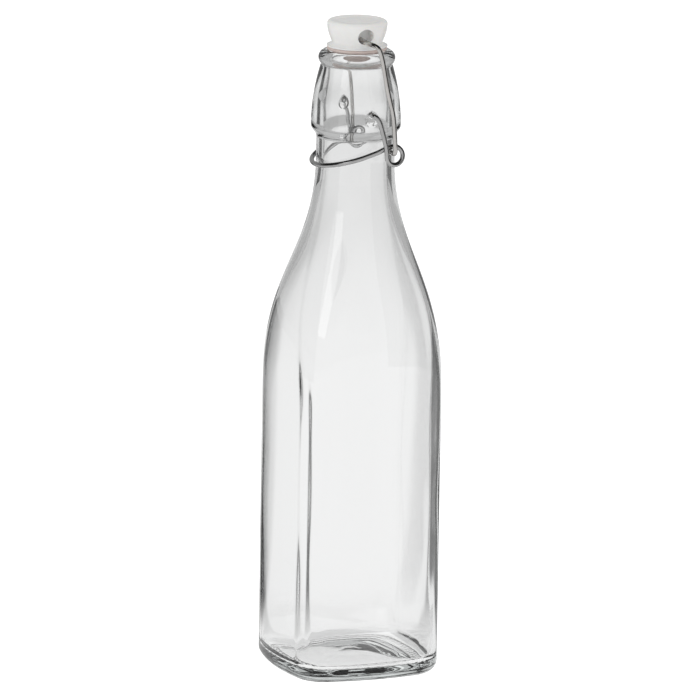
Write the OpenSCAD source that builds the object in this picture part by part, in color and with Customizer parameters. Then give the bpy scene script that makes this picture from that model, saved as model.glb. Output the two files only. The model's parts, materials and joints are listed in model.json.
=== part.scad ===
// Square glass bottle with a wire-operated swing stopper.
// The bottle stands on Z = 0. X is the pivot axis of the closure, and the handle is on the -Y side.

/* [Body] */
// Width across the flat sides
body_w = 65; // [64:0.5:68]
// Radius of the upright corners
corner_r = 14.4; // [12:0.2:17]
// Radius of the slight outward bow of each side, seen from above
side_bow_r = 103; // [90:1:140]
// Radius of the heel, between side and base
heel_r = 4.8; // [3:0.2:6]
// Width of the flat ring that the bottle stands on
bearing_w = 5; // [4:0.2:6]
// Height of the hollow under the base, at its middle
push_up = 3.4; // [2:0.2:4]
// Height of the inner floor at its edge
floor_z = 5; // [4.6:0.2:7]
// Rise of the inner floor at its middle
floor_rise = 2; // [1:0.2:3]
// Radius between the inner floor and the inner wall
floor_fillet = 3.5; // [3:0.5:6]
// Wall thickness, measured level
wall = 2.75; // [2.4:0.05:3]

/* [Shoulder] */
// Height where the straight sides end
shoulder_low_z = 120; // [116:1:124]
// Length of the curve's handle at its lower end
shoulder_low_pull = 43.4; // [38:0.2:46]
// Height where the neck begins
shoulder_high_z = 208.2; // [206:0.2:209]
// Length of the curve's handle at its upper end
shoulder_high_pull = 37.6; // [34:0.2:40]
// Height below which the plan is fully square
square_z = 110; // [100:1:116]
// Height above which the plan is fully round
round_z = 203; // [196:1:206]

/* [Neck] */
// Outer radius of the straight neck
neck_r = 15.65; // [15.4:0.05:15.8]
// Height where the neck begins to flare out to the pivot band
band_low_z = 216.8; // [216:0.1:217.4]
// Height of the widest line of the pivot band
band_z = 220.2; // [219.6:0.1:220.6]
// Outer radius of the pivot band
band_r = 17.95; // [17.8:0.05:18.1]
// Radius of the bead round the mouth, at the middle of its section
bead_ring_r = 12.2; // [12.1:0.05:12.4]
// Radius of the bead's section
bead_r = 3.1; // [3:0.05:3.2]
// Radius of the mouth
mouth_r = 10.2; // [10:0.1:10.4]
// Height of the top of the glass
lip_z = 250.9; // [250.7:0.1:251]

/* [Closure] */
// Diameter of both wires
wire_d = 1.9; // [1.8:0.05:1.95]
// Radial clearance of a wire in its hole
wire_gap = 0.05; // [0.02:0.01:0.09]
// Height of the lever's pivot in the neck
pivot_z = 227.6; // [227.4:0.1:227.8]
// Height of the wire through the stopper
stopper_pin_z = 256; // [255.9:0.1:256.2]
// Position of that wire in front of the middle
stopper_pin_front = 1; // [0.8:0.1:1.2]
// Position of the bail's hook behind the pivot
hook_y = 7.7; // [7.6:0.05:7.75]
// Position of the bail's hook below the pivot
hook_drop = 15.15; // [15.1:0.05:15.25]
// Radius of the lever's eye, at the middle of the wire
eye_r = 3.6; // [3.55:0.05:3.75]
// Position of the eye's middle behind the pivot
eye_y = 8.8; // [8.7:0.05:8.85]
// Position of the eye's middle below the pivot
eye_drop = 16.3; // [16.25:0.05:16.4]
// Distance of the lever's arms from the middle
arm_x = 21.5; // [21.4:0.05:21.6]
// Distance of the eye's last turn from the middle
eye_in_x = 19.3; // [19.2:0.05:19.4]
// Radius of the handle round the neck, at the middle of the wire
handle_r = 17.3; // [17.2:0.1:17.8]
// Slope of the handle's plane, in millimetres down for each forward
handle_slope = 0.32; // [0.28:0.02:0.36]

/* [Stopper] */
// Radius of the stopper's top
stopper_r = 12; // [11.6:0.1:12.2]
// Radius of the waist above the flange
waist_r = 10.2; // [10:0.1:10.4]
// Radius of the flange that presses on the gasket
flange_r = 12.1; // [11.9:0.05:12.3]
// Height of the top of the stopper
top_z = 262.9; // [262.5:0.1:263.2]
// Radius of the nose that hangs in the mouth
nose_r = 7.6; // [7.2:0.1:7.6]
// Length of the nose below the glass lip
nose_drop = 4; // [3:0.1:4]
// Thickness of the gasket between lip and flange
gasket_t = 1.5; // [1.45:0.05:1.6]
// Outer radius of the gasket
gasket_r = 12.3; // [12.1:0.1:12.4]

/* [Hidden] */

// Circles that become true surfaces
$fn = 96;
// Points round the moulded body, and sides and steps of a bent wire
ring_n = 48;
wire_sides = 10;
wire_steps = 3;
// Size of a step that keeps two joined surfaces apart
skin = 0.05;

half_w = body_w / 2;
// The side's arc meets the corner's arc at this angle, and the corner's middle is at corner_c
side_angle = acos((side_bow_r - half_w) / ((side_bow_r - corner_r) * sqrt(2))) - 45;
corner_c = (side_bow_r - corner_r) * sin(side_angle);
wire_r = wire_d / 2;
hole_r = wire_r + wire_gap;
// The moulded body and the turned neck meet here, just above the shoulder
join_z = shoulder_high_z + 1.8;
neck_in_r = neck_r - wall;
band_in_r = 13.2;
bead_z = lip_z - bead_r;
// Lowest point of the bead's section that shows, as an angle below level
bead_low_angle = 50;
flare_top = [bead_ring_r + bead_r * cos(bead_low_angle), bead_z - bead_r * sin(bead_low_angle)];
lip_round = 2;
// The lever's wire hangs in the upper part of the dish
dish_r = 2.8;
dish_drop = 1.6;
dish_depth = 1.2;
flange_z = lip_z + gasket_t;
flange_t = 0.5;
waist_z = flange_z + 1.9;
top_round = 1.4;
pocket_r = 3.1;
pocket_y = 0.5 - stopper_pin_front;
pocket_z = stopper_pin_z + 1.7;
pocket_x = 6.5;
// Ends of the straight pins that turn in the glass, in the eyes and in the stopper
pivot_pin = [15.1, 19.6];
hook_pin = [17.4, 21.6];
stopper_pin_x = 14.4;
// The sweep starts this far inside a pin, and is this much thinner, so that the pin's end covers it
pin_lap = 0.6;
bent_r = wire_r - 0.02;

function smooth(t) = let (c = min(max(t, 0), 1)) c * c * (3 - 2 * c);
function normal(a) = [cos(a), sin(a)];
function turn(p, a) = [p.x * cos(a) - p.y * sin(a), p.x * sin(a) + p.y * cos(a)];

// Point of the square plan whose outward normal has the angle a, within 45 degrees of a side's middle
function side_point(a) = abs(a) <= side_angle
    ? [half_w - side_bow_r + side_bow_r * cos(a), side_bow_r * sin(a)]
    : [corner_c + corner_r * cos(a), sign(a) * corner_c + corner_r * sin(a)];
function square_point(a) = let (q = floor((a + 45) / 90)) turn(side_point(a - 90 * q), 90 * q);

// Level ring of half width w, blended from round (k = 0) to square (k = 1), and moved in by inset
function ring(w, k, inset, z, size = 1) = [for (i = [0 : ring_n - 1])
    let (a = 360 * i / ring_n)
    let (p = k * w / half_w * square_point(a) + ((1 - k) * w - inset) * normal(a))
    [size * p.x, size * p.y, z]];

// The shoulder is one cubic curve from the side up to the neck, in half width and height
function shoulder(t) = let (u = 1 - t)
    [half_w * u * u * (1 + 2 * t) + neck_r * t * t * (3 - 2 * t),
     shoulder_low_z * u * u * u + 3 * (shoulder_low_z + shoulder_low_pull) * u * u * t
     + 3 * (shoulder_high_z - shoulder_high_pull) * u * t * t + shoulder_high_z * t * t * t];
function squareness(z) = smooth((round_z - z) / (round_z - square_z));
function shoulder_ring(t, inset) = let (s = shoulder(t)) ring(s.x, squareness(s.y), inset, s.y);

// Rings from the middle of the underside, up the outside, and down the inside to the floor
underside_inset = heel_r + bearing_w;
under_rings = [for (s = [0.3 : 0.233 : 1])
    ring(half_w, 1, underside_inset, push_up * (1 - s * s), s)];
heel_rings = [for (a = [0 : 18 : 90]) ring(half_w, 1, heel_r * (1 - sin(a)), heel_r * (1 - cos(a)))];
outer_rings = [for (t = [0 : 1 / 14 : 1.01]) shoulder_ring(t, 0)];
top_rings = [
    ring(neck_r - skin, 0, 0, join_z + 1),
    ring(neck_in_r + skin, 0, 0, join_z + 1)];
inner_rings = [for (t = [1 : -1 / 12 : -0.01]) shoulder_ring(t, wall - (t > 0.99 ? 0.02 : 0))];
fillet_rings = [for (a = [90 : -22.5 : 0])
    ring(half_w, 1, wall + floor_fillet * (1 - sin(a)), floor_z + floor_fillet * (1 - cos(a)))];
floor_inset = wall + floor_fillet;
floor_rings = [for (s = [0.7 : -0.3 : 0.3])
    ring(half_w, 1, floor_inset, floor_z + floor_rise * (1 - s * s), s)];

// Solid through stacked rings of n points, closed by a point below the first and inside the last
module loft(rings, n, first, last) {
    count = len(rings);
    points = concat([first], [for (r = rings) each r], [last]);
    end = count * n + 1;
    sides = [for (i = [0 : count - 2]) for (j = [0 : n - 1])
        let (a = 1 + i * n + j, b = 1 + i * n + (j + 1) % n)
        each [[a, a + n, b], [b, a + n, b + n]]];
    caps = [for (j = [0 : n - 1])
        each [[0, 1 + j, 1 + (j + 1) % n], [end, end - n + (j + 1) % n, end - n + j]]];
    polyhedron(points = points, faces = concat(sides, caps), convexity = 6);
}

module moulded_body() {
    rings = concat(under_rings, heel_rings, outer_rings, top_rings, inner_rings, fillet_rings, floor_rings);
    loft(rings, ring_n, [0, 0, push_up], [0, 0, floor_z + floor_rise]);
}

module turned_neck() {
    flare = [for (t = [0 : 1 / 8 : 1])
        [band_r - (band_r - flare_top.x) * t * t, band_z + (flare_top.y - band_z) * t]];
    bead = [for (a = [-bead_low_angle + 10 : 10 : 90]) [bead_ring_r, bead_z] + bead_r * normal(a)];
    lip = [for (a = [90 : 15 : 180]) [mouth_r + lip_round, lip_z - lip_round] + lip_round * normal(a)];
    bore = [[mouth_r, lip_z - 2.7], [mouth_r + 1, 244.5], [mouth_r + 1.9, 237], [band_in_r, 229.5],
        [band_in_r, 223.5], [neck_in_r, band_low_z]];
    rotate_extrude()
        polygon(concat(
            [[neck_in_r, join_z], [neck_r, join_z], [neck_r, band_low_z]],
            flare, bead, lip, bore));
}

// Dished recess with a blind hole for the end of the lever
module pivot_recess() {
    translate([0, 0, pivot_z]) rotate([0, 90, 0]) {
        translate([0, 0, pivot_pin[0] - 0.2]) cylinder(r = hole_r, h = 6);
        translate([dish_drop, 0, band_r - dish_depth]) cylinder(r = dish_r, h = 4);
    }
}

module glass_bottle() color([0.88, 0.94, 0.93, 0.45]) {
    difference() {
        union() {
            moulded_body();
            turned_neck();
        }
        pivot_recess();
        mirror([1, 0, 0]) pivot_recess();
    }
}

module stopper() color("white") {
    nose = [[0, lip_z - nose_drop], [nose_r - 1, lip_z - nose_drop], [nose_r, lip_z - nose_drop + 1]];
    fillet = [for (a = [0 : 22.5 : 90])
        [flange_r - (flange_r - waist_r) * sin(a), waist_z - (waist_z - flange_z - flange_t) * cos(a)]];
    bowl = [for (a = [15 : 15 : 75])
        [waist_r + (stopper_r - waist_r) * sin(a), waist_z + (top_z - top_round - waist_z) * a / 90]];
    edge = [for (a = [0 : 15 : 90]) [stopper_r - top_round, top_z - top_round] + top_round * normal(a)];
    difference() {
        rotate_extrude()
            polygon(concat(nose, [[nose_r, flange_z], [flange_r, flange_z]], fillet, bowl, edge, [[0, top_z]]));
        translate([-stopper_r - 1, -stopper_pin_front, stopper_pin_z]) rotate([0, 90, 0])
            cylinder(r = hole_r, h = 2 * stopper_r + 2);
        for (side = [0, 1])
            mirror([side, 0, 0]) translate([pocket_x, pocket_y, pocket_z]) rotate([0, 90, 0])
                cylinder(r = pocket_r, h = stopper_r);
    }
}

// Washer squeezed between lip and flange, with a collar that hangs in the mouth
module gasket() color([0.87, 0.78, 0.74]) {
    collar_r = mouth_r - 0.6;
    collar_z = lip_z - 3.6;
    bore_r = nose_r + skin;
    rotate_extrude()
        polygon([
            [bore_r, collar_z], [collar_r - 0.4, collar_z], [collar_r, collar_z + 0.5], [collar_r, lip_z],
            [gasket_r - 0.3, lip_z], [gasket_r, lip_z + 0.4], [gasket_r, flange_z - 0.4],
            [gasket_r - 0.3, flange_z], [bore_r, flange_z]]);
}

// Smooth curve through the points p, with n steps from one point to the next
function curve_at(a, b, c, d, t) =
    0.5 * (2 * b + (c - a) * t + (2 * a - 5 * b + 4 * c - d) * t * t + (3 * b - a - 3 * c + d) * t * t * t);
function curve(p, n) = let (m = len(p) - 1) concat(
    [for (i = [0 : m - 1]) for (j = [0 : n - 1])
        curve_at(p[max(i - 1, 0)], p[i], p[i + 1], p[min(i + 2, m)], j / n)],
    [p[m]]);

function unit(v) = v / norm(v);
function tangent(p, i) = unit(p[min(i + 1, len(p) - 1)] - p[max(i - 1, 0)]);
// Direction across the wire at each point, carried along without twist
function frames(p) = [for (i = 0, f = unit(cross(tangent(p, 0), [0.1, 0.2, 1])); i < len(p);
    i = i + 1, f = i < len(p) ? let (t = tangent(p, i)) unit(f - (f * t) * t) : f) f];

// Round wire bent along the points p
module bent_wire(p) {
    across = frames(p);
    rings = [for (i = [0 : len(p) - 1])
        let (u = across[i], v = cross(tangent(p, i), u))
        [for (j = [0 : wire_sides - 1])
            let (a = 360 * j / wire_sides)
            p[i] + bent_r * (cos(a) * u + sin(a) * v)]];
    loft(rings, wire_sides, p[0], p[len(p) - 1]);
}

// Straight part along X from x0 to x1, at the given y and z
module pin(x0, x1, y, z) {
    translate([x0, y, z]) rotate([0, 90, 0]) cylinder(r = wire_r, h = x1 - x0);
}

// One leg of the bail, from the stopper's pin to the hook in the lever's eye
hook_z = pivot_z - hook_drop;
bail_leg = [
    [stopper_pin_x - pin_lap, -stopper_pin_front, stopper_pin_z],
    [16.8, -0.9, stopper_pin_z],
    [19.6, -0.3, stopper_pin_z - 0.1],
    [21.3, 0.9, 254.9],
    [21.9, 1.7, 253],
    [22.3, 2.4, 250],
    [22.6, 3, 246.5],
    [23.3, 4, 240],
    [23.8, 5.2, 234.1],
    [24, 6.5, 228.5],
    [24, 7.1, 223],
    [24, 7.5, 217.5],
    [23.9, hook_y, hook_z + 1.9],
    [23.3, hook_y, hook_z + 0.5],
    [22.2, hook_y, hook_z],
    [hook_pin[1] - pin_lap, hook_y, hook_z]];

module bail_wire() color([0.8, 0.81, 0.83]) {
    pin(-stopper_pin_x, stopper_pin_x, -stopper_pin_front, stopper_pin_z);
    for (side = [0, 1])
        mirror([side, 0, 0]) {
            bent_wire(curve(bail_leg, wire_steps));
            pin(hook_pin[0], hook_pin[1], hook_y, hook_z);
        }
}

// One half of the lever, from its pin in the neck, down the arm, round the eye and along the handle
lever_arm = [for (p = [
    [pivot_pin[1] - pin_lap, 0, 0],
    [pivot_pin[1] + 0.5, 0, 0],
    [21, 0.9, -0.7],
    [arm_x, 1.9, -2.4],
    [arm_x, 3, -5.7],
    [arm_x, 4.1, -9.8],
    [arm_x, eye_y - eye_r - 0.3, -13.2]]) p + [0, 0, pivot_z]];
eye_turn = [for (a = [0 : 18 : 270])
    [arm_x - (arm_x - eye_in_x) * smooth(a / 270), eye_y - eye_r * cos(a), pivot_z - eye_drop - eye_r * sin(a)]];
function handle_z(y) = pivot_z - 18.3 + handle_slope * (y + 6.2);
handle_start = -11.5;
// The handle leaves the eye a little high, clear of the hook
handle_side = [for (p = [[18.9, 5.6, 0.9], [18.1, 2.4, 0.3]]) [p.x, p.y, handle_z(p.y) + p.z]];
handle_bow = [for (a = [handle_start : -7.85 : -90])
    let (p = handle_r * normal(a)) [p.x, p.y, handle_z(p.y)]];
lever_half = concat(curve(concat(lever_arm, [eye_turn[0]]), wire_steps), eye_turn, handle_side, handle_bow);

module lever_wire() color([0.76, 0.77, 0.8]) {
    other_half = [for (i = [len(lever_half) - 2 : -1 : 0])
        [-lever_half[i].x, lever_half[i].y, lever_half[i].z]];
    bent_wire(concat(lever_half, other_half));
    for (side = [0, 1])
        mirror([side, 0, 0]) pin(pivot_pin[0], pivot_pin[1], 0, pivot_z);
}

glass_bottle();
stopper();
gasket();
bail_wire();
lever_wire();
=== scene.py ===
"""A square glass bottle with a wire-operated swing stopper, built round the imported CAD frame."""
import json
import math

import bpy
import numpy as np
from mathutils import Matrix, Vector


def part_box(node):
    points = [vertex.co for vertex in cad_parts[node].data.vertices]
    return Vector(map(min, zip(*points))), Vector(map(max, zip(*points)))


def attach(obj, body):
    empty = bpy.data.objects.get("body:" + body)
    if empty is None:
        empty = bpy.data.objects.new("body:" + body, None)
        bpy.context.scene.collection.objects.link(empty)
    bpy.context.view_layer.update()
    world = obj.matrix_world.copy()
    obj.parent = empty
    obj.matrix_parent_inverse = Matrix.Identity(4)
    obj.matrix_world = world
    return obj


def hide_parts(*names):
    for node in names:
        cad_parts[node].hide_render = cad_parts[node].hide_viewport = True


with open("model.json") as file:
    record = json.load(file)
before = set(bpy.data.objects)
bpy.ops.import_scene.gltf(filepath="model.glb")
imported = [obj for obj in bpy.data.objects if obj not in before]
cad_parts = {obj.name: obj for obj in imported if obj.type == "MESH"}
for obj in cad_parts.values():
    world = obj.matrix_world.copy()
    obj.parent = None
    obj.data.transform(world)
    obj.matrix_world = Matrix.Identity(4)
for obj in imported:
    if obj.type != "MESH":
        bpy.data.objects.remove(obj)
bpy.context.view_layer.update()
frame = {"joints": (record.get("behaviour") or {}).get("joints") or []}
MM = 0.001

# Sizes in millimetres that the frame gives. The rest repeat the design's own sizes, unless a comment
# says otherwise.
GLASS_LOW, GLASS_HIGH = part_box("glass_bottle")
BODY_W = (GLASS_HIGH.x - GLASS_LOW.x) / MM
LIP_Z = GLASS_HIGH.z / MM
TOP_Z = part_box("stopper")[1].z / MM
FLANGE_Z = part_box("gasket")[1].z / MM
JOINTS = {j["name"]: j for j in frame["joints"]}
PIVOT_Z = JOINTS["lever_turn"]["pos_m"][2] / MM
HOOK_Y = JOINTS["bail_turn"]["pos_m"][1] / MM
HOOK_Z = JOINTS["bail_turn"]["pos_m"][2] / MM
STOPPER_PIN_Y = JOINTS["stopper_turn"]["pos_m"][1] / MM
STOPPER_PIN_Z = JOINTS["stopper_turn"]["pos_m"][2] / MM

# The body: plan, base and wall
HALF_W = BODY_W / 2
CORNER_R = 14.4
SIDE_BOW_R = 103
HEEL_R = 4.8
BEARING_W = 5
# The ribs under the bearing ring are in the visual model only
RIB_PITCH, RIB_H = 4.3, 0.9
PUSH_UP = 3.4
FLOOR_Z = 5
FLOOR_RISE = 2
FLOOR_FILLET = 3.5
WALL = 2.75
# Extra wall at all four corners, and in the streak beside one of them
CORNER_EXTRA, STREAK_EXTRA = 0.2, 0.8

# The shoulder is a cubic curve; these are half width and height of its control points
NECK_R = 15.65
SHOULDER = [(HALF_W, 120), (HALF_W, 163.4), (NECK_R, 170.6), (NECK_R, 208.2)]
BODY_TOP_Z, NECK_Z = SHOULDER[0][1], SHOULDER[3][1]
# The plan is square below the first height and round above the second
SQUARE_Z, ROUND_Z = 110, 203

# The neck: pivot band, bead, mouth, and the two recesses with their pivot holes
BAND_LOW_Z, BAND_Z, BAND_R = 216.8, 220.2, 17.95
BAND_IN_R, NECK_IN_R = 13.2, NECK_R - WALL
BEAD_RING_R, BEAD_R = 12.2, 3.1
MOUTH_R, LIP_ROUND = 10.2, 2.0
DISH_R, DISH_DROP, DISH_X, DISH_REACH = 2.8, 1.6, 16.75, 3.3
HOLE_R, HOLE_X, HOLE_EDGE = 0.98, 14.9, 0.2
WIRE_R = 0.95


# ---------------------------------------------------------------- plain geometry helpers

def smooth(t):
    t = np.clip(t, 0, 1)
    return t * t * (3 - 2 * t)


def arc(centre, radius, start, end, steps):
    """Points of an arc in a profile, angles in degrees."""
    a = np.radians(np.linspace(start, end, steps + 1))
    return np.c_[centre[0] + radius * np.cos(a), centre[1] + radius * np.sin(a)]


def rounded(points, radius, steps=6):
    """The open line through points, with each inner corner replaced by a short curve."""
    p = [np.array(q[:2], float) for q in points]
    out = [p[0]]
    for a, b, c in zip(p, p[1:], p[2:]):
        cut = min(radius, np.linalg.norm(b - a) * 0.45, np.linalg.norm(c - b) * 0.45)
        s = b + (a - b) / np.linalg.norm(a - b) * cut
        e = b + (c - b) / np.linalg.norm(c - b) * cut
        for t in np.linspace(0, 1, steps + 1):
            out.append(s * (1 - t) ** 2 + 2 * b * t * (1 - t) + e * t * t)
    return np.array(out + [p[-1]])


def resample(profile, step):
    """The same line with points a level step apart."""
    length = np.r_[0, np.cumsum(np.linalg.norm(np.diff(profile, axis=0), axis=1))]
    at = np.linspace(0, length[-1], max(2, int(round(length[-1] / step)) + 1))
    return np.c_[np.interp(at, length, profile[:, 0]), np.interp(at, length, profile[:, 1])]


def new_mesh(name, points, faces, smooth_shade=True):
    mesh = bpy.data.meshes.new(name)
    mesh.from_pydata([tuple(p) for p in np.asarray(points) * MM], [], faces)
    mesh.update()
    if smooth_shade:
        mesh.shade_smooth()
    obj = bpy.data.objects.new(name, mesh)
    bpy.context.scene.collection.objects.link(obj)
    return obj


def loft(name, rings, first, last):
    """Closed surface through stacked rings, ended by the points first and last."""
    n = len(rings[0])
    count = len(rings)
    points = np.concatenate([[first], np.concatenate(rings), [last]])
    end = count * n + 1
    faces = []
    for i in range(count - 1):
        for j in range(n):
            a, b = 1 + i * n + j, 1 + i * n + (j + 1) % n
            faces.append((a, b, b + n, a + n))
    for j in range(n):
        k = (j + 1) % n
        faces.append((0, 1 + k, 1 + j))
        faces.append((end, end - n + j, end - n + k))
    return new_mesh(name, points, faces)


def lathe(name, profile, steps):
    """Solid of revolution; profile runs from the axis at the bottom to the axis at the top."""
    a = np.linspace(0, 2 * math.pi, steps, endpoint=False)
    rings = [np.c_[r * np.cos(a), r * np.sin(a), np.full(steps, z)] for r, z in profile[1:-1]]
    return loft(name, rings, (0, 0, profile[0][1]), (0, 0, profile[-1][1]))


def ring_lathe(name, profile, steps):
    """Ring of revolution; profile is a closed loop off the axis."""
    a = np.linspace(0, 2 * math.pi, steps, endpoint=False)
    m = len(profile)
    points = np.concatenate([np.c_[r * np.cos(a), r * np.sin(a), np.full(steps, z)] for r, z in profile])
    faces = []
    for i in range(m):
        for j in range(steps):
            i2, j2 = (i + 1) % m, (j + 1) % steps
            faces.append((i * steps + j, i * steps + j2, i2 * steps + j2, i2 * steps + j))
    return new_mesh(name, points, faces)


def curve_through(points, steps):
    """Smooth line through points, steps to each span."""
    p = np.array(points, float)
    out = []
    for i in range(len(p) - 1):
        a, b, c, d = p[max(i - 1, 0)], p[i], p[i + 1], p[min(i + 2, len(p) - 1)]
        for t in np.linspace(0, 1, steps, endpoint=False):
            out.append(0.5 * (2 * b + (c - a) * t + (2 * a - 5 * b + 4 * c - d) * t ** 2
                              + (3 * b - a - 3 * c + d) * t ** 3))
    return np.array(out + [p[-1]])


def wire(name, path, radius, sides=24, end_round=0.25):
    """Round wire along path, its ends slightly rounded."""
    p = np.array(path)
    tangent = np.gradient(p, axis=0)
    tangent /= np.linalg.norm(tangent, axis=1)[:, None]
    across = np.cross(tangent[0], (0.1, 0.2, 1))
    rings = []
    a = np.linspace(0, 2 * math.pi, sides, endpoint=False)
    for i, t in enumerate(tangent):
        across = across - across.dot(t) * t
        across /= np.linalg.norm(across)
        up = np.cross(t, across)
        rings.append(p[i] + radius * (np.outer(np.cos(a), across) + np.outer(np.sin(a), up)))
    inner = 1 - end_round / radius
    start = p[0] + (rings[0] - p[0]) * inner - tangent[0] * end_round * 0.6
    end = p[-1] + (rings[-1] - p[-1]) * inner + tangent[-1] * end_round * 0.6
    rings = [start] + rings + [end]
    return loft(name, rings, start.mean(0), end.mean(0))


# ---------------------------------------------------------------- the glass

# Half the angle of each bowed side, and how far each corner's centre is from the axes
BOW_LESS_CORNER = SIDE_BOW_R - CORNER_R
SIDE_ANGLE = math.degrees(math.acos((SIDE_BOW_R - HALF_W) / (BOW_LESS_CORNER * math.sqrt(2)))) - 45
CORNER_C = BOW_LESS_CORNER * math.sin(math.radians(SIDE_ANGLE))


def square_points(angles):
    """Points of the square plan whose outward normals have these angles, in degrees."""
    q = np.floor((angles + 45) / 90)
    a = angles - 90 * q
    r = np.radians(a)
    on_side = np.abs(a) <= SIDE_ANGLE
    bow_c = HALF_W - SIDE_BOW_R
    x = np.where(on_side, bow_c + SIDE_BOW_R * np.cos(r), CORNER_C + CORNER_R * np.cos(r))
    y = np.where(on_side, SIDE_BOW_R * np.sin(r), np.sign(a) * CORNER_C + CORNER_R * np.sin(r))
    t = np.radians(90 * q)
    return np.c_[x * np.cos(t) - y * np.sin(t), x * np.sin(t) + y * np.cos(t)]


def plan_angles(n):
    """n normal angles, spaced half by angle and half by length along the square plan."""
    fine = np.linspace(0, 360, 7201)
    p = square_points(fine)
    length = np.r_[0, np.cumsum(np.linalg.norm(np.diff(p, axis=0), axis=1))]
    share = 0.5 * fine / 360 + 0.5 * length / length[-1]
    return np.interp(np.arange(n) / n, share, fine)


RING_N = 320
ANGLES = plan_angles(RING_N)
SQUARE = square_points(ANGLES)
NORMALS = np.c_[np.cos(np.radians(ANGLES)), np.sin(np.radians(ANGLES))]


def ring(w, k, inset, z, size=1.0):
    """Level ring of half width w, blended from round (k = 0) to square (k = 1), moved in by inset."""
    inset = np.broadcast_to(inset, RING_N)
    p = k * w / HALF_W * SQUARE + ((1 - k) * w - inset)[:, None] * NORMALS
    return np.c_[size * p, np.broadcast_to(z, RING_N)]


def shoulder_at(t):
    """Half width and height at t along the shoulder, from the body (0) to the neck (1)."""
    u = 1 - t
    b = [np.array(q, float) for q in SHOULDER]
    return b[0] * u ** 3 + 3 * b[1] * u * u * t + 3 * b[2] * u * t * t + b[3] * t ** 3


def squareness(z):
    """1 where the plan is square, 0 where it is round."""
    return smooth((ROUND_Z - z) / (ROUND_Z - SQUARE_Z))


def wall_at(z):
    """Wall thickness round the ring at height z: a little thicker at the corners, and slightly rippled."""
    a = np.radians(ANGLES)
    ripple = 0.10 * np.sin(3 * a + z / 19)
    ripple = ripple + 0.07 * np.sin(5 * a - z / 11 + 1.3)
    ripple = ripple + 0.05 * np.sin(z / 7 + 2 * a)
    corner = CORNER_EXTRA * ((1 - np.cos(4 * a)) / 2) ** 4 * smooth((150 - z) / 60)
    # Beside one front corner is a heavier upright streak, which fades out at the heel and the shoulder
    d = np.degrees((a + math.pi) % (2 * math.pi) - math.pi)
    streak = STREAK_EXTRA * smooth((-44 - d) / 18) * (1 - smooth((-80 - d) / 20))
    streak = streak * smooth((135 - z) / 25) * smooth((z - 8) / 14)
    return WALL + ripple + corner + streak


def bearing_ring(share):
    """One ring of the flat that the bottle stands on, with its moulded row of short ribs."""
    inset = HEEL_R + BEARING_W * (1 - share)
    flat = ring(HALF_W, 1, inset, 0.0)
    step = np.linalg.norm(np.diff(np.vstack([flat, flat[:1]])[:, :2], axis=0), axis=1)
    length = np.r_[0, np.cumsum(step)]
    ribs = round(length[-1] / RIB_PITCH)
    wave = 0.5 - 0.5 * np.cos(2 * math.pi * ribs * length[:-1] / length[-1])
    flat[:, 2] = RIB_H * wave ** 0.8 * math.sin(math.pi * share) ** 0.8
    return flat


def neck_profile():
    """The neck's two profiles: up the outside and over the lip, and down the bore."""
    bead_z = LIP_Z - BEAD_R
    low = math.radians(50)
    flare_x, flare_z = BEAD_RING_R + BEAD_R * math.cos(low), bead_z - BEAD_R * math.sin(low)
    flare = [(BAND_R - (BAND_R - flare_x) * t * t, BAND_Z + (flare_z - BAND_Z) * t)
             for t in np.linspace(0.06, 1, 24)]
    outside = rounded([(NECK_R, NECK_Z), (NECK_R, BAND_LOW_Z), (BAND_R - 0.05, BAND_Z - 0.3), flare[0]], 1.0)
    bead = arc((BEAD_RING_R, bead_z), BEAD_R, -44, 90, 20)
    lip = arc((MOUTH_R + LIP_ROUND, LIP_Z - LIP_ROUND), LIP_ROUND, 90, 180, 12)
    bore = rounded([(MOUTH_R, LIP_Z - 2.2), (MOUTH_R + 1, 244.5), (MOUTH_R + 1.9, 237), (BAND_IN_R, 229.5),
                    (BAND_IN_R, 223.5), (NECK_IN_R, BAND_LOW_Z), (NECK_IN_R, NECK_Z)], 3.0, 8)
    outer = np.vstack([outside, flare[1:], bead, lip])
    return resample(outer, 0.42), resample(bore, 0.9)


def dimple(rings, first, last):
    """Presses the two pivot recesses into the outside of the neck."""
    for r in rings[first:last]:
        from_hole = np.hypot(r[:, 1], r[:, 2] - PIVOT_Z)
        from_dish = np.hypot(r[:, 1], r[:, 2] - PIVOT_Z + DISH_DROP)
        dish = DISH_X + 1.1 * (np.clip(from_dish, 0, DISH_REACH) / (DISH_R + 0.1)) ** 6
        hole = HOLE_X + 2.0 * smooth((from_hole - HOLE_R) / HOLE_EDGE)
        x = np.abs(r[:, 0])
        floor = np.where(from_hole < HOLE_R + HOLE_EDGE, hole, dish)
        r[:, 0] = np.sign(r[:, 0]) * np.where(from_dish < DISH_REACH, np.minimum(x, floor), x)


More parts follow.
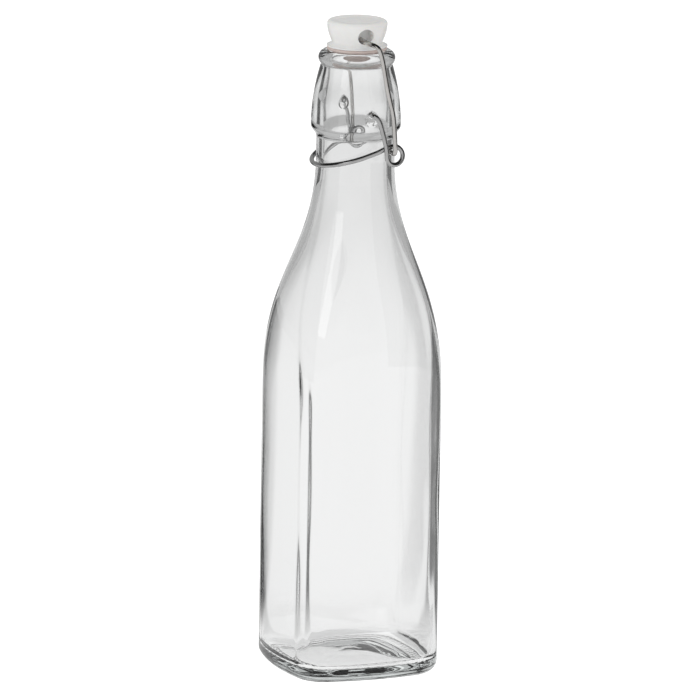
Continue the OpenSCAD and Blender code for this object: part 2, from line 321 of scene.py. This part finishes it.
def glass_bottle():
    """One loft from the hollow under the base, up the outside, over the lip and down to the inner floor."""
    outer, bore = neck_profile()
    under_inset = HEEL_R + BEARING_W
    rings = [ring(HALF_W, 1, under_inset, PUSH_UP * (1 - s * s), s) for s in np.linspace(0.06, 0.985, 16)]
    rings += [bearing_ring(s) for s in np.linspace(0, 1, 13)]
    for a in np.radians(np.linspace(8, 90, 12)):
        rings.append(ring(HALF_W, 1, HEEL_R * (1 - math.sin(a)), HEEL_R * (1 - math.cos(a))))
    for z in np.linspace(HEEL_R + 2, BODY_TOP_Z, 34):
        rings.append(ring(HALF_W, squareness(z), 0, z))
    for t in np.linspace(0.02, 1, 56):
        w, z = shoulder_at(t)
        rings.append(ring(w, squareness(z), 0, z))
    start = len(rings)
    rings += [ring(r, 0, 0, z) for r, z in outer[1:]]
    dimple(rings, start, len(rings))
    rings += [ring(r, 0, 0, z) for r, z in bore[1:]]
    for t in np.linspace(0.98, 0, 48):
        w, z = shoulder_at(t)
        rings.append(ring(w, squareness(z), WALL + (wall_at(z) - WALL) * smooth((1 - t) * 4), z))
    top_of_fillet = FLOOR_Z + FLOOR_FILLET
    for z in np.linspace(BODY_TOP_Z - 4, top_of_fillet + 1, 28):
        rings.append(ring(HALF_W, squareness(z), wall_at(z), z))
    for a in np.radians(np.linspace(90, 4, 14)):
        z = FLOOR_Z + FLOOR_FILLET * (1 - math.cos(a))
        rings.append(ring(HALF_W, 1, wall_at(z) + FLOOR_FILLET * (1 - math.sin(a)), z))
    for s in np.linspace(0.98, 0.05, 18):
        swirl = 0.22 * math.sin(s * 17) * np.cos(np.radians(ANGLES) + s * 3)
        z = FLOOR_Z + FLOOR_RISE * smooth(1 - s * s) + swirl * (1 - s)
        rings.append(ring(HALF_W, 1, wall_at(FLOOR_Z) + FLOOR_FILLET, z, s))
    return loft("bottle_glass", rings, (0, 0, PUSH_UP), (0, 0, FLOOR_Z + FLOOR_RISE))


# ---------------------------------------------------------------- stopper and gasket

STOPPER_R, WAIST_R, FLANGE_R, NOSE_R = 12.0, 10.2, 12.1, 7.6
FLANGE_T, WAIST_RISE, TOP_ROUND, TOP_DISH = 0.5, 1.9, 1.4, 0.3
NOSE_DROP, CROSS_HOLE_R = 4, 1.02
# The pocket's bottom from the middle, its axis from the cross hole, and the length of its cutter
POCKET_X, POCKET_Y, POCKET_Z, POCKET_DEPTH = 6.5, 0.5, 1.7, 7.5
# The visible gasket's rim is 0.35 mm inside the design's
GASKET_R, COLLAR_DROP = 11.95, 3.6


def cut(obj, cutter):
    """Cuts cutter out of obj and deletes it."""
    mod = obj.modifiers.new("cut", "BOOLEAN")
    mod.operation = "DIFFERENCE"
    mod.solver = "EXACT"
    mod.object = cutter
    bpy.context.view_layer.update()
    mesh = bpy.data.meshes.new_from_object(obj.evaluated_get(bpy.context.evaluated_depsgraph_get()))
    obj.modifiers.clear()
    obj.data = mesh
    bpy.data.objects.remove(cutter)


def along_x(obj, x, y, z):
    """Turns a solid made about Z so that it lies along X from x, at y and z."""
    obj.data.transform(Matrix.Translation((x * MM, y * MM, z * MM)) @ Matrix.Rotation(math.pi / 2, 4, "Y"))


def stopper():
    """Turned body with a nose, a flange and a waist, then the bail's cross hole and two pockets."""
    waist_z = FLANGE_Z + WAIST_RISE
    edge_z = TOP_Z - TOP_ROUND
    nose_z = LIP_Z - NOSE_DROP
    side = [(0, nose_z), (NOSE_R - 1, nose_z), (NOSE_R, nose_z + 1), (NOSE_R, FLANGE_Z),
            (FLANGE_R, FLANGE_Z), (FLANGE_R, FLANGE_Z + FLANGE_T)]
    fillet = [(FLANGE_R - (FLANGE_R - WAIST_R) * math.sin(a),
               waist_z - (waist_z - FLANGE_Z - FLANGE_T) * math.cos(a))
              for a in np.radians(np.linspace(12, 90, 8))]
    bowl = [(WAIST_R + (STOPPER_R - WAIST_R) * math.sin(a),
             waist_z + (edge_z - waist_z) * a / math.radians(90))
            for a in np.radians(np.linspace(6, 88, 14))]
    edge = arc((STOPPER_R - TOP_ROUND, edge_z), TOP_ROUND, 0, 90, 12)
    crown = [(r, TOP_Z - TOP_DISH * smooth((10 - r) / 2.4)) for r in np.linspace(10.2, 0.6, 16)]
    low = rounded(side, 0.25, 4)
    profile = np.vstack([low, fillet, bowl, edge, crown, [(0, TOP_Z - TOP_DISH)]])
    obj = lathe("stopper_body", profile, 160)
    hole = lathe("hole", [(0, -14), (CROSS_HOLE_R, -14), (CROSS_HOLE_R, 14), (0, 14)], 48)
    along_x(hole, 0, STOPPER_PIN_Y, STOPPER_PIN_Z)
    cut(obj, hole)
    for sign in (1, -1):
        shape = rounded([(0, 0), (2.6, 0), (3.0, 0.5), (3.1, 3), (3.4, POCKET_DEPTH)], 0.5)
        pocket = lathe("pocket", np.vstack([shape, [(0, POCKET_DEPTH)]]), 64)
        along_x(pocket, POCKET_X, POCKET_Y + STOPPER_PIN_Y, STOPPER_PIN_Z + POCKET_Z)
        if sign < 0:
            pocket.data.transform(Matrix.Scale(-1, 4, (1, 0, 0)))
            pocket.data.flip_normals()
        cut(obj, pocket)
    obj.data.shade_smooth()
    obj.data.set_sharp_from_angle(angle=math.radians(38))
    return obj


def gasket():
    """Washer on the lip with a round rim, and a collar that hangs in the mouth."""
    bore, collar = NOSE_R + 0.05, MOUTH_R - 0.6
    z0, z1 = LIP_Z, FLANGE_Z
    low = z0 - COLLAR_DROP
    rim = arc((GASKET_R - (z1 - z0) / 2, (z0 + z1) / 2), (z1 - z0) / 2, -90, 90, 14)
    hanging = [(bore, low + 0.1), (bore + 0.1, low), (collar - 0.5, low), (collar - 0.1, low + 0.15),
               (collar, low + 0.6), (collar, z0 - 0.2), (collar + 0.2, z0)]
    profile = np.vstack([hanging, rim, [(bore + 0.1, z1), (bore, z1 - 0.1)]])
    return ring_lathe("gasket_ring", profile, 160)


# ---------------------------------------------------------------- the two wires

EYE_R, EYE_Y, EYE_DROP = 3.6, 8.8, 16.3
ARM_X, EYE_IN_X = 21.5, 19.3
HANDLE_R = 17.3


def bail_path():
    """Through the stopper, down the side, and in through the lever's eye; the other half is its mirror."""
    y, z = STOPPER_PIN_Y, STOPPER_PIN_Z
    leg = [(0, y, z), (6, y, z), (13.8, y, z), (15.2, y, z), (16.8, y + 0.1, z), (19.6, y + 0.7, z - 0.1),
           (21.3, 0.9, 254.9), (21.9, 1.7, 253), (22.3, 2.4, 250), (22.6, 3, 246.5), (23.3, 4, 240),
           (23.8, 5.2, 234.1), (24, 6.5, 228.5), (24, 7.1, 223), (24, 7.5, 217.5),
           (23.9, HOOK_Y, HOOK_Z + 1.9), (23.3, HOOK_Y, HOOK_Z + 0.5), (22.2, HOOK_Y, HOOK_Z),
           (21, HOOK_Y, HOOK_Z), (17.6, HOOK_Y, HOOK_Z)]
    half = curve_through(leg, 8)
    return np.vstack([(half * (-1, 1, 1))[:0:-1], half])


def handle_z(y):
    """Height of the handle's sloping plane."""
    return PIVOT_Z - 18.3 + 0.32 * (y + 6.2)


def lever_path():
    """Pin, arm, eye and half of the handle, then their mirror."""
    arm = [(15.3, 0, 0), (18, 0, 0), (20.1, 0, 0), (21, 0.9, -0.7), (ARM_X, 1.9, -2.4), (ARM_X, 3, -5.7),
           (ARM_X, 4.1, -9.8), (ARM_X, EYE_Y - EYE_R - 0.3, -13.2)]
    arm = [(x, y, PIVOT_Z + z) for x, y, z in arm]
    a = np.radians(np.arange(0, 271, 6))
    eye = np.c_[ARM_X - (ARM_X - EYE_IN_X) * smooth(a / math.radians(270)),
                EYE_Y - EYE_R * np.cos(a), PIVOT_Z - EYE_DROP - EYE_R * np.sin(a)]
    side = [(x, y, handle_z(y) + lift) for x, y, lift in ((18.9, 5.6, 0.9), (18.1, 2.4, 0.3))]
    b = np.radians(np.linspace(-11.5, -90, 31))
    bow = np.c_[HANDLE_R * np.cos(b), HANDLE_R * np.sin(b), handle_z(HANDLE_R * np.sin(b))]
    first = curve_through(np.vstack([arm, eye[:1]]), 8)[:-1]
    last = curve_through(np.vstack([eye[-1:], side, bow[:1]]), 8)[1:-1]
    half = np.vstack([first, eye, last, bow])
    return np.vstack([half, (half * (-1, 1, 1))[-2::-1]])


# ---------------------------------------------------------------- materials

def material(name):
    m = bpy.data.materials.new(name)
    m.use_nodes = True
    shader = m.node_tree.nodes["Principled BSDF"]
    return m, m.node_tree, shader


def noise(tree, scale, detail=2.0, stretch=(1, 1, 1)):
    """Noise in the object's own coordinates, in metres."""
    coords = tree.nodes.new("ShaderNodeTexCoord")
    mapping = tree.nodes.new("ShaderNodeMapping")
    mapping.inputs["Scale"].default_value = stretch
    tex = tree.nodes.new("ShaderNodeTexNoise")
    tex.inputs["Scale"].default_value = scale
    tex.inputs["Detail"].default_value = detail
    tree.links.new(coords.outputs["Object"], mapping.inputs["Vector"])
    tree.links.new(mapping.outputs["Vector"], tex.inputs["Vector"])
    return tex.outputs["Fac"]


def ramp(tree, value, low, high, at=(0.35, 0.65)):
    """Turns a 0 to 1 value into a blend of two colours."""
    node = tree.nodes.new("ShaderNodeValToRGB")
    node.color_ramp.elements[0].position, node.color_ramp.elements[1].position = at
    node.color_ramp.elements[0].color = (*low, 1)
    node.color_ramp.elements[1].color = (*high, 1)
    tree.links.new(value, node.inputs["Fac"])
    return node.outputs["Color"]


def between(tree, value, low, high, start=0.0, end=1.0):
    """Scales a value that runs from start to end so that it runs from low to high."""
    node = tree.nodes.new("ShaderNodeMapRange")
    node.inputs["From Min"].default_value = start
    node.inputs["From Max"].default_value = end
    node.inputs["To Min"].default_value = low
    node.inputs["To Max"].default_value = high
    tree.links.new(value, node.inputs["Value"])
    return node.outputs["Result"]


def bump(tree, shader, height, distance, strength=1.0):
    node = tree.nodes.new("ShaderNodeBump")
    node.inputs["Distance"].default_value = distance
    node.inputs["Strength"].default_value = strength
    tree.links.new(height, node.inputs["Height"])
    tree.links.new(node.outputs["Normal"], shader.inputs["Normal"])


def clear_glass():
    m, tree, shader = material("clear_glass")
    shader.inputs["Base Color"].default_value = (1, 1, 1, 1)
    shader.inputs["Roughness"].default_value = 0.0
    shader.inputs["IOR"].default_value = 1.52
    shader.inputs["Transmission Weight"].default_value = 1.0
    bump(tree, shader, noise(tree, 45, 1.0, (1, 1, 0.4)), 0.0006, 0.12)
    absorb = tree.nodes.new("ShaderNodeVolumeAbsorption")
    absorb.inputs["Color"].default_value = (0.60, 0.86, 0.82, 1)
    absorb.inputs["Density"].default_value = 2.5
    tree.links.new(absorb.outputs["Volume"], tree.nodes["Material Output"].inputs["Volume"])
    return m


def white_stopper():
    m, tree, shader = material("white_stopper")
    cloud = noise(tree, 180, 3.0)
    tree.links.new(ramp(tree, cloud, (0.85, 0.845, 0.83), (0.885, 0.88, 0.865)), shader.inputs["Base Color"])
    tree.links.new(between(tree, noise(tree, 600, 4.0), 0.16, 0.30), shader.inputs["Roughness"])
    shader.inputs["Specular IOR Level"].default_value = 0.35
    shader.inputs["Subsurface Weight"].default_value = 0.15
    shader.inputs["Subsurface Radius"].default_value = (0.002, 0.0015, 0.001)
    shader.inputs["Subsurface Scale"].default_value = 1.0
    bump(tree, shader, noise(tree, 900, 3.0), 0.00003)
    return m


def gasket_rubber():
    m, tree, shader = material("gasket_rubber")
    tree.links.new(ramp(tree, noise(tree, 260, 3.0), (0.64, 0.52, 0.48), (0.72, 0.61, 0.57)),
                   shader.inputs["Base Color"])
    tree.links.new(between(tree, noise(tree, 1200, 4.0), 0.35, 0.55), shader.inputs["Roughness"])
    bump(tree, shader, noise(tree, 2200, 3.0), 0.00004)
    return m


def steel(name, tone):
    m, tree, shader = material(name)
    shader.inputs["Metallic"].default_value = 1.0
    streaks = noise(tree, 700, 4.0, (1, 1, 0.08))
    tree.links.new(ramp(tree, streaks, tuple(0.90 * c for c in tone), tone), shader.inputs["Base Color"])
    tree.links.new(between(tree, streaks, 0.12, 0.26), shader.inputs["Roughness"])
    bump(tree, shader, streaks, 0.00002)
    return m


def dress(obj, mat, body, node):
    """Gives a piece its material, the body it rides on and the CAD node it replaces."""
    obj.data.materials.clear()
    obj.data.materials.append(mat)
    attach(obj, body)
    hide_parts(node)


# ---------------------------------------------------------------- camera, floor and light

# Angles in degrees, distances in metres
VIEW_TURN, VIEW_RISE, VIEW_ROLL = 68.9, 12.5, 0.91
DISTANCE, LENS, SENSOR = 4.0, 515.7, 36.0
AIM_Z, AIM_SIDE = 0.1288, -0.00087

# Glow of the ground behind the bottle, by angle from the line of sight. Close to the bottle it fades
# to one glow, and far away to the world's
BEHIND = VIEW_TURN + 180
GROUND_TONES = [(-64, 0.80), (-56, 0.18), (-42, 0.14), (-32, 0.12), (-25, 0.80), (-12, 0.88),
                (12, 0.88), (24, 0.80), (31, 0.04), (43, 0.04), (51, 0.78)]
UNDER_BOTTLE_GLOW, WORLD_GLOW = 0.86, 0.76
FIELD_HALF, FIELD_NEAR, FIELD_FAR = 75, 0.04, 1.6
NEAR_FADE_END, FAR_FADE_START, FAR_FADE_END = 0.13, 0.6, 1.2
GROUND_HALF, GROUND_Z, ROOF_HALF, ROOF_Z = 6.0, -0.0002, 1.3, 1.1


def view_axes():
    a, e = math.radians(VIEW_TURN), math.radians(VIEW_RISE)
    back = Vector((math.sin(a) * math.cos(e), -math.cos(a) * math.cos(e), math.sin(e)))
    right = Vector((math.cos(a), math.sin(a), 0))
    return back, right


def camera():
    back, right = view_axes()
    data = bpy.data.cameras.new("camera")
    data.lens, data.sensor_width = LENS, SENSOR
    data.clip_start, data.clip_end = 0.1, 100
    cam = bpy.data.objects.new("camera", data)
    bpy.context.scene.collection.objects.link(cam)
    cam.location = Vector((0, 0, AIM_Z)) + right * AIM_SIDE + back * DISTANCE
    level = (-back).to_track_quat("-Z", "Y").to_matrix().to_4x4()
    roll = Matrix.Rotation(math.radians(VIEW_ROLL), 4, "Z")
    cam.matrix_world = Matrix.Translation(cam.location) @ level @ roll
    bpy.context.scene.camera = cam


def sheet(name, half, z, mat):
    """Level square sheet, centred on the bottle's axis."""
    corners = [(-half, -half, z), (half, -half, z), (half, half, z), (-half, half, z)]
    obj = new_mesh(name, np.array(corners) / MM, [(0, 1, 2, 3)], False)
    obj.data.materials.append(mat)
    return obj


def plain(name, colour, glow=0.0):
    """Matt material that can glow white."""
    m, _, shader = material(name)
    shader.inputs["Base Color"].default_value = (*colour, 1)
    shader.inputs["Roughness"].default_value = 0.9
    shader.inputs["Specular IOR Level"].default_value = 0.0
    shader.inputs["Emission Color"].default_value = (1, 1, 1, 1)
    shader.inputs["Emission Strength"].default_value = glow
    return m


def backdrop():
    """Glow of the ground behind the bottle: white in the middle, dark to both sides, softly blended."""
    m, tree, shader = material("backdrop")
    shader.inputs["Base Color"].default_value = (0, 0, 0, 1)
    shader.inputs["Specular IOR Level"].default_value = 0.0
    shader.inputs["Emission Strength"].default_value = 1.0
    coords = tree.nodes.new("ShaderNodeTexCoord")
    turned = tree.nodes.new("ShaderNodeMapping")
    turned.inputs["Rotation"].default_value = (0, 0, -math.radians(VIEW_TURN + 90))
    around = tree.nodes.new("ShaderNodeTexGradient")
    around.gradient_type = "RADIAL"
    tone = tree.nodes.new("ShaderNodeValToRGB")
    tone.color_ramp.interpolation = "EASE"
    while len(tone.color_ramp.elements) < len(GROUND_TONES):
        tone.color_ramp.elements.new(0.5)
    for stop, (angle, value) in zip(tone.color_ramp.elements, GROUND_TONES):
        stop.position = 0.5 + angle / 360
        stop.color = (value, value, value, 1)
    length = tree.nodes.new("ShaderNodeVectorMath")
    length.operation = "LENGTH"
    near = between(tree, length.outputs["Value"], 0.0, 1.0, FIELD_NEAR, NEAR_FADE_END)
    far = between(tree, length.outputs["Value"], 1.0, WORLD_GLOW, FAR_FADE_START, FAR_FADE_END)
    blend = tree.nodes.new("ShaderNodeMix")
    blend.data_type = "RGBA"
    blend.inputs["A"].default_value = (UNDER_BOTTLE_GLOW, UNDER_BOTTLE_GLOW, UNDER_BOTTLE_GLOW, 1)
    tree.links.new(coords.outputs["Object"], turned.inputs["Vector"])
    tree.links.new(turned.outputs["Vector"], around.inputs["Vector"])
    tree.links.new(around.outputs["Fac"], tone.inputs["Fac"])
    tree.links.new(coords.outputs["Object"], length.inputs[0])
    tree.links.new(near, blend.inputs["Factor"])
    tree.links.new(tone.outputs["Color"], blend.inputs["B"])
    tree.links.new(blend.outputs["Result"], shader.inputs["Emission Color"])
    tree.links.new(far, shader.inputs["Emission Strength"])
    return m


def hide_from(obj, *rays):
    """Leaves a stage object out of these kinds of ray."""
    for ray in rays:
        setattr(obj, "visible_" + ray, False)


def sector(name, turn, half, near, far, height, mat):
    """Part of a ring on the floor, centred on the angle turn, with a wall outside it if height isn't 0."""
    a = np.radians(np.linspace(turn - half, turn + half, 13))
    out = np.c_[np.sin(a), -np.cos(a), np.zeros(len(a))]
    rows = [out * near, out * far] + ([out * far + (0, 0, height)] if height else [])
    points = np.concatenate(rows) + (0, 0, 0.001)
    n = len(a)
    faces = [(k * n + i, k * n + i + 1, (k + 1) * n + i + 1, (k + 1) * n + i) for k in range(len(rows) - 1)
             for i in range(n - 1)]
    obj = new_mesh(name, points / MM, faces, False)
    obj.data.materials.append(mat)
    return obj


def area_light(name, turn, rise, distance, size, power):
    """Soft light aimed at the middle of the bottle."""
    a, e = math.radians(turn), math.radians(rise)
    data = bpy.data.lights.new(name, "AREA")
    data.shape = "RECTANGLE"
    data.size, data.size_y = size
    data.energy = power
    obj = bpy.data.objects.new(name, data)
    bpy.context.scene.collection.objects.link(obj)
    out = Vector((math.sin(a) * math.cos(e), -math.cos(a) * math.cos(e), math.sin(e)))
    obj.location = out * distance + Vector((0, 0, 0.13))
    obj.rotation_mode = "QUATERNION"
    obj.rotation_quaternion = out.to_track_quat("Z", "Y")


def stage():
    """White room for the camera, and a separate ground, wall, wings and roof for the glass and wires."""
    scene = bpy.context.scene
    scene.view_settings.view_transform = "Standard"
    world = bpy.data.worlds.new("studio")
    scene.world = world
    world.use_nodes = True
    background = world.node_tree.nodes["Background"]
    background.inputs["Color"].default_value = (1, 1, 1, 1)
    background.inputs["Strength"].default_value = WORLD_GLOW
    all_but_camera = ("diffuse", "glossy", "transmission", "shadow", "volume_scatter")
    under = sheet("under", 0.03, GROUND_Z / 2, plain("under", (0.5, 0.5, 0.5), 0.75))
    hide_from(under, "camera", "diffuse", "shadow")
    floor = sheet("floor", GROUND_HALF, GROUND_Z, plain("floor", (0.5, 0.5, 0.5), 0.8))
    hide_from(floor, *all_but_camera)
    bounce = sheet("bounce", GROUND_HALF, GROUND_Z, plain("bounce", (0.8, 0.8, 0.8), 0.26))
    hide_from(bounce, "camera")
    bpy.ops.mesh.primitive_uv_sphere_add(radius=9, segments=48, ring_count=24)
    dome = bpy.context.object
    dome.data.materials.append(plain("dome", (0, 0, 0), 1.1))
    hide_from(dome, *all_but_camera)
    dark = plain("dark_card", (0.02, 0.02, 0.02))
    field = sector("field", BEHIND, FIELD_HALF, FIELD_NEAR, FIELD_FAR, 0, backdrop())
    wall = plain("back", (0.02, 0.02, 0.02), 0.42)
    back = sector("back", BEHIND, FIELD_HALF, FIELD_FAR, FIELD_FAR + 0.05, 1.4, wall)
    roof = sheet("roof", ROOF_HALF, ROOF_Z, dark)
    for card in (field, back, roof):
        hide_from(card, "camera", "diffuse", "shadow", "volume_scatter")
    for sign in (-1, 1):
        wing = sector("wing", VIEW_TURN + sign * 75, 30, 1.1, 1.2, 1.2, dark)
        hide_from(wing, "camera", "diffuse", "shadow", "transmission", "volume_scatter")
    area_light("key", VIEW_TURN - 40, 35, 1.6, (0.8, 1.2), 3)


camera()
stage()
dress(glass_bottle(), clear_glass(), "bottle", "glass_bottle")
dress(stopper(), white_stopper(), "stopper", "stopper")
dress(gasket(), gasket_rubber(), "stopper", "gasket")
bail_steel = steel("spring_wire", (0.56, 0.545, 0.53))
dress(wire("bail", bail_path(), WIRE_R), bail_steel, "bail", "bail_wire")
lever_steel = steel("lever_steel", (0.44, 0.44, 0.44))
dress(wire("lever", lever_path(), WIRE_R), lever_steel, "lever", "lever_wire")
